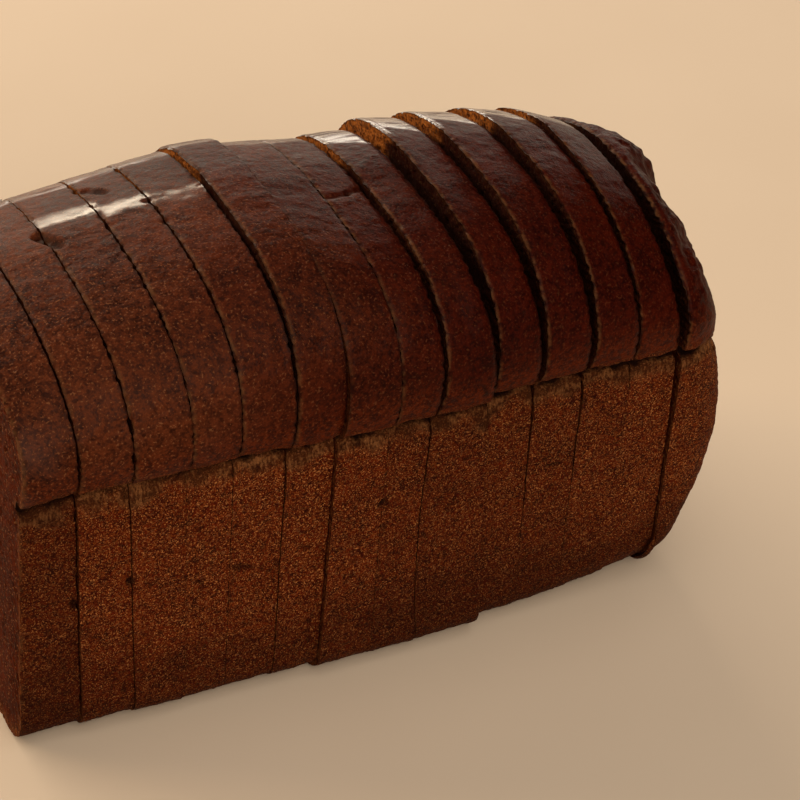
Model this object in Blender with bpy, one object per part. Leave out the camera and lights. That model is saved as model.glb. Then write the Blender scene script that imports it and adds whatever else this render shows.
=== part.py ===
"""Sliced rye tin loaf: thirteen slices and the heel, standing together so that they keep the loaf's shape.

The loaf lies along X with its cut end at -X and its heel at +X, and stands on Z = 0.
A section across the loaf is a tin-shaped body under a crown that overhangs it in a lip on both sides.
Each slice is a loft between the sections at its two knife cuts, and the heel closes the loaf with a rounded end.
"""

import math

import bmesh
import bpy
from mathutils import Matrix

MM = 0.001

# The tin-shaped body of the loaf
BODY_WIDTH = 88.8 * MM
FOOT_RADIUS = 8.5 * MM
FOOT_RADIUS_AT_LAST_CUT = 17.5 * MM
FOOT_RADIUS_GROWS_FROM = 118.0 * MM
WALL_TOP = 71.0 * MM

# The crown that rose above the tin and hangs over its edge.
# Groups of three hold at the cut end, at the crown's highest place and at the last cut.
LIP_HEIGHTS = (74.9 * MM, 76.5 * MM, 74.8 * MM)
LIP_OVERHANGS = (2.7 * MM, 4.0 * MM, 1.0 * MM)
LIP_ROUNDING = 9.5 * MM
SHRED_DEPTH = 0.9 * MM
CROWN_PEAK_X = 85.0 * MM
CROWN_HEIGHTS = (104.0 * MM, 116.3 * MM, 110.0 * MM)
SIDE_FULLNESS = (0.86, 0.70, 0.88)
TOP_FULLNESS = (0.98, 0.80, 1.45)

# The knife cuts, counted from the cut end of the loaf
SLICE_THICKNESSES = tuple(
    value * MM for value in (13.7, 12.7, 13.5, 11.4, 13.2, 11.9, 13.2, 11.1, 17.0, 12.8, 13.6, 13.2, 14.1)
)
KNIFE_GAP = 0.3 * MM
# How far each cut opens at the top, as its slices fan apart; the first entry is the cut end itself
TOP_GAPS = tuple(value * MM for value in (0.0, 0.2, 0.2, 0.5, 0.7, 0.8, 0.0, 0.0, 0.9, 3.2, 2.2, 2.2, 0.8, 3.0))
# How far each cut leans towards the heel for each unit of height above the middle of the body
CUT_LEANS = (0.0, -0.03, -0.04, -0.025, -0.01, 0.0, 0.0, 0.0, 0.02, -0.035, -0.025, -0.008, -0.02, -0.02)
LEAN_PIVOT = 60.0 * MM
# How far each cut drifts towards the heel at its foot
FOOT_DRIFTS = tuple(value * MM for value in (0, 0, 0, 0, 0, 0, 0, 1.2, 4.2, 1.6, 0.6, 0.9, 1.0, 0.2))
DRIFT_HEIGHT = 50.0 * MM

# How each slice has settled: its crown above or below the loaf's own, at its left and right cut, and its set-back
RISES_LEFT = tuple(value * MM for value in (0.0, 0.2, 0.4, -0.5, 0.0, 2.0, 0.0, -2.0, -2.5, -0.4, 0.5, 1.4, 1.2))
RISES_RIGHT = tuple(
    value * MM for value in (-0.4, -0.2, -1.0, -0.6, -0.2, 1.0, -2.0, -3.3, -2.0, -1.2, 0.2, 0.4, -1.2)
)
SET_BACKS = tuple(value * MM for value in (1.2, 0.3, -0.3, 0.0, 0.0, -0.4, -2.0, -2.0, -1.8, 0.8, 1.0, 1.2, 1.6, 0.8))
HEEL_RISE = -2.0 * MM

# The heel: how far it reaches past the last cut, and how wide its end edge is rounded
HEEL_LENGTH = 20.1 * MM
HEEL_BULGE_HEIGHT = 45.0 * MM
HEEL_CENTRE_HEIGHT = 58.0 * MM
HEEL_REACH_AT_LIP = 14.6 * MM
HEEL_REACH_AT_TOP = 15.0 * MM
HEEL_EDGE_REACH = 14.0 * MM
HEEL_FOOT_INSET = 18.0 * MM
HEEL_WALL_INSET = 13.0 * MM
HEEL_CROWN_INSET = 27.0 * MM
HEEL_WALL_POWER = 1.0
HEEL_CROWN_POWER = 0.7
HEEL_RINGS = 8

# The knob of crust on top of the heel, beyond the middle: its place and width across the loaf,
# how far it reaches out past the end and how much it stays up where the end rounds off
KNOB_PLACE = 9.3 * MM
KNOB_WIDTH = 10.8 * MM
KNOB_REACH = 6.2 * MM
KNOB_LIFT = 15.4 * MM
KNOB_FROM = 0.87

# Fineness of the faceted solids
CORNER_STEPS = 4
WALL_STEPS = 3
LIP_STEPS = 4
CROWN_STEPS = 16

CRUST_COLOUR = (0.055, 0.022, 0.012, 1.0)
CRUST_ROUGHNESS = 0.55

CUTS = [sum(SLICE_THICKNESSES[:index]) for index in range(len(SLICE_THICKNESSES) + 1)]
LAST_CUT = CUTS[-1]
LOAF_LENGTH = LAST_CUT + HEEL_LENGTH


def along_loaf(x, at_cut_end, at_peak, at_last_cut):
    """Blend a value from the cut end over the crown's highest place to the last cut, in two parabolas."""
    x = min(x, LAST_CUT)
    if x < CROWN_PEAK_X:
        return at_peak + (at_cut_end - at_peak) * ((CROWN_PEAK_X - x) / CROWN_PEAK_X) ** 2
    return at_peak + (at_last_cut - at_peak) * ((x - CROWN_PEAK_X) / (LAST_CUT - CROWN_PEAK_X)) ** 2


def foot_radius(x):
    """Radius of the body's bottom corners, which widens towards the heel."""
    share = max(0.0, min(x, LAST_CUT) - FOOT_RADIUS_GROWS_FROM) / (LAST_CUT - FOOT_RADIUS_GROWS_FROM)
    return FOOT_RADIUS + (FOOT_RADIUS_AT_LAST_CUT - FOOT_RADIUS) * share**2


def half_section(x, rise):
    """Points (y, z) of the near half of the loaf's section, from the bottom corner up to the crown's top.

    The rise lifts the crown's top above the loaf's own.
    """
    half_body = BODY_WIDTH / 2
    overhang = along_loaf(x, *LIP_OVERHANGS)
    half_lip = half_body + overhang
    lip_height = along_loaf(x, *LIP_HEIGHTS)
    crown_base = lip_height + LIP_ROUNDING
    crown_rise = along_loaf(x, *CROWN_HEIGHTS) + rise - crown_base
    side_power = along_loaf(x, *SIDE_FULLNESS)
    top_power = along_loaf(x, *TOP_FULLNESS)

    radius = foot_radius(x)

    points = []
    for step in range(CORNER_STEPS + 1):
        angle = math.pi / 2 * step / CORNER_STEPS
        y = half_body - radius * (1 - math.sin(angle))
        z = radius * (1 - math.cos(angle))
        points.append((-y, z))
    for step in range(1, WALL_STEPS + 1):
        z = radius + (WALL_TOP - radius) * step / WALL_STEPS
        points.append((-half_body, z))
    points.append((-half_body + SHRED_DEPTH, lip_height))
    for step in range(1, LIP_STEPS + 1):
        angle = math.pi / 2 * step / LIP_STEPS
        y = half_body + overhang * math.sin(angle)
        z = lip_height + LIP_ROUNDING * (1 - math.cos(angle))
        points.append((-y, z))
    for step in range(1, CROWN_STEPS + 1):
        angle = math.pi / 2 * step / CROWN_STEPS
        y = half_lip * max(math.cos(angle), 0.0) ** side_power
        z = crown_base + crown_rise * math.sin(angle) ** top_power
        points.append((-y, z))
    return points


def whole_section(x, rise):
    """Points (y, z) once around the loaf's section: up the near side, over the crown and down the far side."""
    near = half_section(x, rise)
    far = [(-y, z) for y, z in reversed(near[:-1])]
    return near + far


def cut_position(index, z):
    """X of knife cut number index at height z, measured from the cut end of the loaf."""
    lean = CUT_LEANS[index] * (z - LEAN_PIVOT)
    drift = FOOT_DRIFTS[index] * max(0.0, 1.0 - z / DRIFT_HEIGHT) ** 2
    return CUTS[index] + lean + drift


def gap_at(index, z):
    """Width of the opening at knife cut number index at height z."""
    return KNIFE_GAP + TOP_GAPS[index] * (z / max(CROWN_HEIGHTS)) ** 2


def close_end(solid, loop):
    """Close a ring with level strips from its near side to its far side, so that a curved cut stays true."""
    top = len(loop) // 2
    for index in range(top):
        across = len(loop) - 1 - index
        corners = (loop[index], loop[index + 1], loop[across - 1], loop[across])
        solid.faces.new(dict.fromkeys(corners))


def loft(name, rings):
    """Join closed rings of equal point counts into one closed solid."""
    mesh = bpy.data.meshes.new(name)
    solid = bmesh.new()
    loops = [[solid.verts.new(point) for point in ring] for ring in rings]
    count = len(rings[0])
    for first, second in zip(loops, loops[1:]):
        for index in range(count):
            following = (index + 1) % count
            solid.faces.new((first[index], first[following], second[following], second[index]))
    close_end(solid, loops[0])
    close_end(solid, loops[-1])
    bmesh.ops.recalc_face_normals(solid, faces=solid.faces)
    solid.to_mesh(mesh)
    solid.free()
    return bpy.data.objects.new(name, mesh)


def slice_ring(index, share):
    """Ring of slice number index at a share of the way from its left cut to its right cut."""
    rise = RISES_LEFT[index] + (RISES_RIGHT[index] - RISES_LEFT[index]) * share
    middle = CUTS[index] + SLICE_THICKNESSES[index] * share
    ring = []
    for y, z in whole_section(middle, rise):
        left = cut_position(index, z)
        right = cut_position(index + 1, z) - gap_at(index + 1, z)
        ring.append((left + (right - left) * share - LOAF_LENGTH / 2, y + SET_BACKS[index], z))
    return ring


def build_slice(index):
    """One slice: a loft between its two knife cuts."""
    return loft(f"slice_{index + 1:02d}", [slice_ring(index, share) for share in (0.0, 0.5, 1.0)])


def crown_share(z):
    """Share of the way from the heel's lip, 0, to its top, 1, at height z."""
    return max(0.0, min((z - LIP_HEIGHTS[-1]) / (CROWN_HEIGHTS[-1] - LIP_HEIGHTS[-1]), 1.0))


def heel_reach(z):
    """How far the heel's end stands past the last cut at height z: most at mid-body, least at the top."""
    if z < LIP_HEIGHTS[-1]:
        share = (z - HEEL_BULGE_HEIGHT) / (LIP_HEIGHTS[-1] - HEEL_BULGE_HEIGHT)
        return HEEL_LENGTH + (HEEL_REACH_AT_LIP - HEEL_LENGTH) * min(share**2, 1.0)
    return HEEL_REACH_AT_LIP + (HEEL_REACH_AT_TOP - HEEL_REACH_AT_LIP) * crown_share(z)


def heel_inset(z):
    """How far the heel's section has drawn in at its end face at height z."""
    if z < HEEL_BULGE_HEIGHT:
        share = 1.0 - z / HEEL_BULGE_HEIGHT
        return HEEL_WALL_INSET + (HEEL_FOOT_INSET - HEEL_WALL_INSET) * share
    return HEEL_WALL_INSET + (HEEL_CROWN_INSET - HEEL_WALL_INSET) * crown_share(z)


def knob_share(y, z):
    """How fully the heel's knob shows at a point of the section, from 0 to 1."""
    high = max(0.0, crown_share(z) - KNOB_FROM) / (1.0 - KNOB_FROM)
    return high * math.exp(-(((y - KNOB_PLACE) / KNOB_WIDTH) ** 2))


def heel_ring(angle):
    """Ring of the heel's rounded end, from angle 0 where the rounding starts to a right angle at the end face."""
    ring = []
    for y, z in whole_section(LAST_CUT, HEEL_RISE):
        knob = knob_share(y, z)
        reach = heel_reach(z) + KNOB_REACH * knob
        edge = min(HEEL_EDGE_REACH, reach - KNIFE_GAP)
        x = LAST_CUT + reach - edge * (1 - math.sin(angle))
        power = HEEL_WALL_POWER + (HEEL_CROWN_POWER - HEEL_WALL_POWER) * crown_share(z)
        inset = (heel_inset(z) - KNOB_LIFT * knob) * (1 - math.cos(angle)) ** power
        scale = 1 - inset / math.hypot(y, z - HEEL_CENTRE_HEIGHT)
        height = HEEL_CENTRE_HEIGHT + (z - HEEL_CENTRE_HEIGHT) * scale
        ring.append((x - LOAF_LENGTH / 2, y * scale + SET_BACKS[-1], height))
    return ring


def build_heel():
    """The heel: flat at the last cut, with a rounded crust end."""
    last = len(CUTS) - 1
    start = []
    for y, z in whole_section(LAST_CUT, HEEL_RISE):
        start.append((cut_position(last, z) - LOAF_LENGTH / 2, y + SET_BACKS[-1], z))
    rings = [start]
    for step in range(HEEL_RINGS + 1):
        rings.append(heel_ring(math.pi / 2 * step / HEEL_RINGS))
    return loft("heel", rings)


def centre_over_origin(pieces):
    """Shift every piece alike, so that the loaf's box stands centred on the origin."""
    points = [vertex.co for piece in pieces for vertex in piece.data.vertices]
    shift = [-(min(point[axis] for point in points) + max(point[axis] for point in points)) / 2 for axis in (0, 1)]
    for piece in pieces:
        piece.data.transform(Matrix.Translation((*shift, 0.0)))


def crust_material(name):
    """Dark, satin crust."""
    material = bpy.data.materials.new(name)
    material.use_nodes = True
    surface = material.node_tree.nodes["Principled BSDF"]
    surface.inputs["Base Color"].default_value = CRUST_COLOUR
    surface.inputs["Roughness"].default_value = CRUST_ROUGHNESS
    surface.inputs["Metallic"].default_value = 0.0
    return material


def main():
    """Clear the scene and build the loaf."""
    for old in list(bpy.data.objects):
        bpy.data.objects.remove(old, do_unlink=True)
    loaf = bpy.data.collections.new("sliced_rye_loaf")
    bpy.context.scene.collection.children.link(loaf)
    pieces = [build_slice(index) for index in range(len(SLICE_THICKNESSES))]
    pieces.append(build_heel())
    centre_over_origin(pieces)
    for piece in pieces:
        piece.data.materials.append(crust_material(f"{piece.name}_crust"))
        loaf.objects.link(piece)


main()
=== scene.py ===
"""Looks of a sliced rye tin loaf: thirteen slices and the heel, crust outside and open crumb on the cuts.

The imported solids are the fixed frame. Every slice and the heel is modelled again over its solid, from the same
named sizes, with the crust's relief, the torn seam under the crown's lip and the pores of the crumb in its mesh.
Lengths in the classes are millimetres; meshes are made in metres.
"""

import logging
import math
from dataclasses import dataclass, field
from enum import Enum

import bmesh
import bpy
import numpy as np
from mathutils import Matrix, Vector


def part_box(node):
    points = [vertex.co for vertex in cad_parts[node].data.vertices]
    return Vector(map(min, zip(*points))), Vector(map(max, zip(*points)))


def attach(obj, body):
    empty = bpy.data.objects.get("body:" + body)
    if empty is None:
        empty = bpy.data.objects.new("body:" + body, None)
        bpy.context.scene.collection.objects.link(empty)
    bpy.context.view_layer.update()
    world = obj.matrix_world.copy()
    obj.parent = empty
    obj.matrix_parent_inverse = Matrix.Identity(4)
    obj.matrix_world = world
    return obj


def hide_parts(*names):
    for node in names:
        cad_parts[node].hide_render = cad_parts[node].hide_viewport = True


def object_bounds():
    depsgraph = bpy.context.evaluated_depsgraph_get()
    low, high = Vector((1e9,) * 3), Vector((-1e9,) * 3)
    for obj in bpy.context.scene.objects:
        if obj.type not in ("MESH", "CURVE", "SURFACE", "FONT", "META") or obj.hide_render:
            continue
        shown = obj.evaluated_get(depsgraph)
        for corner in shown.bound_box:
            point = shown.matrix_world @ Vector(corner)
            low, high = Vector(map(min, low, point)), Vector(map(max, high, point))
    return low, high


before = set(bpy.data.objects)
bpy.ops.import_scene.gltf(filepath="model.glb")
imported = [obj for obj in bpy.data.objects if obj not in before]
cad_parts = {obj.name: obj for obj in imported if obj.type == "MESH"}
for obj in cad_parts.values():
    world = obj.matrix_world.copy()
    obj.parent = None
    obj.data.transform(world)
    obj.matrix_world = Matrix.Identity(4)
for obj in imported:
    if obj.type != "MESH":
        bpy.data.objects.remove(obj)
CAD_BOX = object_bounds()

LOG = logging.getLogger("rye_loaf")
MM = 0.001
Triple = tuple[float, float, float]


class Side(Enum):
    """Long side of the loaf, by the sign of Y."""

    NEAR = -1.0
    FAR = 1.0


class CutFace(Enum):
    """Which end of a piece a cap closes."""

    LEFT = 0
    RIGHT = 1


def smooth(low: float, high: float, value: np.ndarray) -> np.ndarray:
    """Rise smoothly from 0 where value is low to 1 where it is high.

    Args:
        low: Value at which the result is 0.
        high: Value at which the result is 1; it may be below low.
        value: Numbers to judge.

    Returns:
        Numbers from 0 to 1.
    """
    share = np.clip((value - low) / (high - low), 0.0, 1.0)
    return share * share * (3.0 - 2.0 * share)


def scatter(cell: np.ndarray, seed: int) -> np.ndarray:
    """Give every cell of a lattice its own scattered whole number.

    Args:
        cell: Whole lattice coordinates, three in each row.
        seed: Number that tells one pattern from another.

    Returns:
        One unsigned 32-bit number for each row.
    """
    part = (cell & 0xFFFFFFFF).astype(np.uint32)
    mixed = part[:, 0] * np.uint32(374761393) ^ part[:, 1] * np.uint32(668265263) ^ part[:, 2] * np.uint32(2246822519)
    mixed = mixed ^ np.uint32((seed * 3266489917) & 0xFFFFFFFF)
    mixed = (mixed ^ (mixed >> np.uint32(15))) * np.uint32(2246822519)
    mixed = (mixed ^ (mixed >> np.uint32(13))) * np.uint32(3266489917)
    return mixed ^ (mixed >> np.uint32(16))


@dataclass(frozen=True)
class Unevenness:
    """Seeded gradient noise of one size.

    Attributes:
        size: Width of its lumps along X, Y and Z.
        seed: Number that tells one pattern from another.
    """

    size: Triple
    seed: int

    def at(self, points: np.ndarray) -> np.ndarray:
        """Value at each point, from about -1 to 1.

        Args:
            points: Places in the loaf, three numbers in each row.

        Returns:
            One number for each place.
        """
        place = points / np.array(self.size)
        cell = np.floor(place).astype(np.int64)
        offset = place - cell
        fade = offset**3 * (offset * (offset * 6.0 - 15.0) + 10.0)
        total = np.zeros(len(points))
        for corner in np.ndindex(2, 2, 2):
            step = np.array(corner)
            mixed = scatter(cell + step, self.seed)
            away = offset - step
            lean = sum(
                ((mixed >> np.uint32(10 * axis)) & np.uint32(1023)) / 511.5 * away[:, axis] - away[:, axis]
                for axis in range(3)
            )
            weight = np.prod(np.where(step == 1, fade, 1.0 - fade), axis=1)
            total += weight * lean
        return total * 1.5


@dataclass(frozen=True)
class Pores:
    """Seeded round holes scattered through the crumb or pricked into the crust.

    Attributes:
        spacing: Distance between neighbouring places for a hole.
        smallest: Radius of the smallest hole.
        largest: Radius of the largest hole.
        share: Share of the places that have a hole.
        seed: Number that tells one pattern from another.
    """

    spacing: float
    smallest: float
    largest: float
    share: float
    seed: int

    def depth_at(self, points: np.ndarray) -> np.ndarray:
        """How deep each point lies in a hole.

        Args:
            points: Places in the loaf, three numbers in each row.

        Returns:
            0 outside the holes, up to 1 at a hole's middle.
        """
        place = points / self.spacing
        cell = np.floor(place).astype(np.int64)
        deepest = np.zeros(len(points))
        for neighbour in np.ndindex(3, 3, 3):
            near = cell + np.array(neighbour) - 1
            mixed = scatter(near, self.seed)
            chosen = scatter(near, self.seed + 1)
            centre = near + np.stack([((mixed >> np.uint32(10 * axis)) & np.uint32(1023)) / 1023.0 for axis in range(3)], 1)
            rank = (chosen & np.uint32(1023)) / 1023.0
            spread = ((chosen >> np.uint32(10)) & np.uint32(1023)) / 1023.0
            radius = self.smallest + (self.largest - self.smallest) * spread**2
            distance = np.linalg.norm(place - centre, axis=1) * self.spacing
            depth = np.where(rank < self.share, 1.0 - distance / radius, 0.0)
            deepest = np.maximum(deepest, depth)
        return deepest


@dataclass(frozen=True)
class Mark:
    """A pit, nick, crease or blister on the crust, stretched along one line.

    Attributes:
        start: One end of its line, in the loaf's own places.
        end: The other end; the same place for a round mark.
        radius: Half its width.
        depth: How far it goes in; a blister has a negative depth.
        painted_shade: How much painted shade darkens it, from 0 to 1.
    """

    start: Triple
    end: Triple
    radius: float
    depth: float
    painted_shade: float = 0.0

    def cover(self, points: np.ndarray) -> np.ndarray:
        """How fully each point lies in the mark.

        Args:
            points: Places in the loaf, three numbers in each row.

        Returns:
            0 outside, 1 on the mark's line.
        """
        begin = np.array(self.start)
        line = np.array(self.end) - begin
        length = float(line @ line)
        share = np.clip((points - begin) @ line / length, 0.0, 1.0) if length > 0 else np.zeros(len(points))
        distance = np.linalg.norm(points - begin - share[:, None] * line, axis=1)
        return smooth(self.radius * 1.3, self.radius * 0.35, distance)


@dataclass(frozen=True)
class Gloss:
    """A stretch of the crown's top whose crust is smooth and shiny.

    Attributes:
        start: Where it begins along the loaf.
        end: Where it ends.
        near: Where it begins across the loaf.
        far: Where it ends across the loaf.
        strength: How shiny it is, from 0 to 1.
        slant: How much nearer its near side comes for each millimetre along the loaf.
    """

    start: float
    end: float
    near: float
    far: float
    strength: float
    slant: float = 0.0

    def cover(self, points: np.ndarray) -> np.ndarray:
        """How far each point belongs to the stretch, from 0 to 1.

        Args:
            points: Places in the loaf, three numbers in each row.

        Returns:
            One number for each place.
        """
        x, y = points[:, 0], points[:, 1]
        along = smooth(self.start, self.start + 1.0, x) * smooth(self.end, self.end - 1.0, x)
        behind = y + self.slant * (x - self.start)
        return self.strength * along * smooth(self.near - 0.8, self.near + 0.8, behind) * smooth(self.far + 3.0, self.far, y)


@dataclass
class CutEdges:
    """Where the crust's places lie between a piece's two knife cuts.

    Attributes:
        left: Distance of each place to the cut on the left.
        right: Distance of each place to the cut on the right.
        first: Number of the cut on the left.
        last: Number of the cut on the right.
    """

    left: np.ndarray
    right: np.ndarray
    first: int
    last: int

    def nearest(self, values: tuple[float, ...]) -> np.ndarray:
        """Pick a cut's value for each place from the cut that lies nearer.

        Args:
            values: One number for each cut.

        Returns:
            One number for each place.
        """
        return np.where(self.left < self.right, values[self.first], values[self.last])


@dataclass(frozen=True)
class LoafForm:
    """Sizes of the loaf, the same as its solids'. Triples hold at the cut end, at the highest place and at the last cut."""

    body_width: float = 88.8
    foot_radius: float = 8.5
    foot_radius_at_last_cut: float = 17.5
    foot_radius_grows_from: float = 118.0
    wall_top: float = 71.0
    lip_heights: Triple = (74.9, 76.5, 74.8)
    lip_overhangs: Triple = (2.7, 4.0, 1.0)
    lip_rounding: float = 9.5
    shred_depth: float = 0.9
    crown_peak_x: float = 85.0
    crown_heights: Triple = (104.0, 116.3, 110.0)
    side_fullness: Triple = (0.86, 0.70, 0.88)
    top_fullness: Triple = (0.98, 0.80, 1.45)
    slice_thicknesses: tuple[float, ...] = (
        13.7, 12.7, 13.5, 11.4, 13.2, 11.9, 13.2, 11.1, 17.0, 12.8, 13.6, 13.2, 14.1,
    )
    knife_gap: float = 0.3
    openings: tuple[float, ...] = (
        0.3, 0.20, 0.03, 0.02, 0.02, 0.02, 0.02, 0.03, 0.20, 0.04, 0.03, 0.03, 0.04, 0.30,
    )
    raggedness: tuple[float, ...] = (
        0.8, 0.6, 0.9, 1.0, 1.0, 0.9, 0.35, 0.8, 1.0, 1.0, 1.0, 1.0, 1.0, 1.2,
    )
    # Strength of the painted shade at each knife cut, darkening crumb and crust where the slices lie close.
    gap_shade: tuple[float, ...] = (
        0.0, 0.5, 0.5, 0.55, 0.6, 0.75, 0.4, 0.6, 0.7, 0.75, 0.75, 0.75, 0.7, 0.85,
    )
    left_rounding: tuple[float, ...] = (
        0.3, 0.15, 0.15, 0.15, 0.15, 0.35, 0.05, 0.15, 0.2, 0.15, 0.15, 0.15, 0.15, 0.3,
    )
    right_rounding: tuple[float, ...] = (
        0.0, -0.15, -0.2, -0.2, -0.2, -0.2, 0.05, 0.0, 0.3, 0.5, 0.5, 0.5, 0.4, 0.5,
    )
    pan_tones: tuple[float, ...] = (
        0.58, 0.95, 0.95, 1.0, 1.0, 1.0, 0.93, 0.80, 0.70, 0.75, 0.78, 0.85, 0.92, 0.93,
    )
    top_gaps: tuple[float, ...] = (0.0, 0.12, 0.1, 0.2, 0.25, 0.5, 0.0, 0.0, 0.9, 3.2, 2.2, 2.2, 0.8, 3.0)
    cut_leans: tuple[float, ...] = (
        0.0, -0.03, -0.04, -0.025, -0.01, 0.0, 0.0, 0.0, 0.02, -0.035, -0.025, -0.008, -0.02, -0.02,
    )
    lean_pivot: float = 60.0
    foot_drifts: tuple[float, ...] = (0.0, 0.0, 0.0, 0.0, 0.0, 0.0, 0.0, 1.2, 4.2, 1.6, 0.6, 0.9, 1.0, 0.2)
    drift_height: float = 50.0
    rises_left: tuple[float, ...] = (0.0, 0.2, 0.4, -0.5, 0.0, 2.0, 0.0, -2.0, -2.5, -0.4, 0.5, 1.4, 1.2)
    rises_right: tuple[float, ...] = (-0.4, -0.2, -1.0, -0.6, -0.2, 1.0, -2.0, -3.3, -2.0, -1.2, 0.2, 0.4, -1.2)
    heel_rise: float = -2.0
    heel_length: float = 20.1
    heel_bulge_height: float = 45.0
    heel_centre_height: float = 58.0
    heel_reach_at_lip: float = 14.6
    heel_reach_at_top: float = 15.0
    heel_edge_reach: float = 14.0
    heel_foot_inset: float = 18.0
    heel_wall_inset: float = 13.0
    heel_crown_inset: float = 27.0
    heel_wall_power: float = 1.0
    heel_crown_power: float = 0.7
    knob_place: float = 9.3
    knob_width: float = 10.8
    knob_reach: float = 6.2
    knob_lift: float = 15.4
    knob_from: float = 0.87
    lip_sag_place: float = 70.0
    lip_sag_width: float = 6.5
    lip_sag: float = 1.5

    @property
    def cuts(self) -> tuple[float, ...]:
        """Places of the knife cuts along the loaf, from the cut end on."""
        return tuple(sum(self.slice_thicknesses[:index]) for index in range(len(self.slice_thicknesses) + 1))

    def along(self, x: np.ndarray, values: Triple) -> np.ndarray:
        """Blend a triple of sizes along the loaf, in two parabolas.

        Args:
            x: Places along the loaf.
            values: Size at the cut end, at the crown's highest place and at the last cut.

        Returns:
            The size at each place.
        """
        at_end, at_peak, at_last = values
        last = self.cuts[-1]
        x = np.minimum(x, last)
        before = at_peak + (at_end - at_peak) * ((self.crown_peak_x - x) / self.crown_peak_x) ** 2
        after = at_peak + (at_last - at_peak) * ((x - self.crown_peak_x) / (last - self.crown_peak_x)) ** 2
        return np.where(x < self.crown_peak_x, before, after)

    def corner(self, x: np.ndarray) -> np.ndarray:
        """Radius of the body's bottom corners at each place along the loaf."""
        span = self.cuts[-1] - self.foot_radius_grows_from
        share = np.clip((x - self.foot_radius_grows_from) / span, 0.0, 1.0)
        return self.foot_radius + (self.foot_radius_at_last_cut - self.foot_radius) * share**2

    def lip(self, x: np.ndarray, side: np.ndarray) -> np.ndarray:
        """Height of the crown's lower edge, which wanders as torn dough does.

        Args:
            x: Places along the loaf.
            side: -1 on the near side, 1 on the far side.

        Returns:
            The height at each place.
        """
        line = np.stack([x, side * 40.0, np.zeros_like(x)], 1)
        slow = Unevenness((17.0, 9.0, 9.0), 5).at(line)
        quick = Unevenness((4.5, 9.0, 9.0), 6).at(line)
        sag = self.lip_sag * np.exp(-(((x - self.lip_sag_place) / self.lip_sag_width) ** 4))
        return self.along(x, self.lip_heights) + 0.9 * slow + 0.45 * quick - np.where(side < 0, sag, 0.0)

    def outline(self, station: np.ndarray, side: np.ndarray, x: np.ndarray, rise: np.ndarray) -> np.ndarray:
        """Places on the loaf's section.

        Args:
            station: How far round from the crown's top: 0 to 1 crown, 1 to 2 lip, 2 to 3 torn seam, 3 to 4 wall,
                4 to 5 bottom corner, 5 to 6 underside.
            side: -1 on the near side, 1 on the far side.
            x: Places along the loaf.
            rise: How far the crown stands above the loaf's own.

        Returns:
            Y and Z of each place, two numbers in each row.
        """
        half = self.body_width / 2
        overhang = self.along(x, self.lip_overhangs)
        lip = self.lip(x, side)
        base = lip + self.lip_rounding
        tall = self.along(x, self.crown_heights) + rise - base
        radius = self.corner(x)
        turn = math.pi / 2 * (1.0 - np.clip(station, 0.0, 1.0))
        crown_y = (half + overhang) * np.maximum(np.cos(turn), 0.0) ** self.along(x, self.side_fullness)
        crown_z = base + tall * np.maximum(np.sin(turn), 0.0) ** self.along(x, self.top_fullness)
        turn = math.pi / 2 * (1.0 - np.clip(station - 1.0, 0.0, 1.0))
        lip_y = half - self.shred_depth + (overhang + self.shred_depth) * np.sin(turn)
        lip_z = lip + self.lip_rounding * (1.0 - np.cos(turn))
        share = np.clip(station - 2.0, 0.0, 1.0)
        seam_y = half - self.shred_depth * (1.0 - share)
        seam_z = lip + (self.wall_top - lip) * share
        share = np.clip(station - 3.0, 0.0, 1.0)
        wall_z = self.wall_top + (radius - self.wall_top) * share
        turn = math.pi / 2 * np.clip(station - 4.0, 0.0, 1.0)
        corner_y = half - radius * (1.0 - np.cos(turn))
        corner_z = radius * (1.0 - np.sin(turn))
        under_y = (half - radius) * (1.0 - np.clip(station - 5.0, 0.0, 1.0))
        part = np.clip(np.floor(station).astype(int), 0, 5)
        y = np.choose(part, [crown_y, lip_y, seam_y, half, corner_y, under_y])
        z = np.choose(part, [crown_z, lip_z, seam_z, wall_z, corner_z, 0.0])
        return np.stack([y * side, z], 1)

    def cut(self, index: int, z: np.ndarray) -> np.ndarray:
        """X of knife cut number index at each height z."""
        lean = self.cut_leans[index] * (z - self.lean_pivot)
        drift = self.foot_drifts[index] * np.maximum(0.0, 1.0 - z / self.drift_height) ** 2
        return self.cuts[index] + lean + drift

    def gap(self, index: int, z: np.ndarray) -> np.ndarray:
        """Width of the opening at knife cut number index at each height z."""
        return self.openings[index] + self.top_gaps[index] * (z / max(self.crown_heights)) ** 2


FORM = LoafForm()


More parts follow.
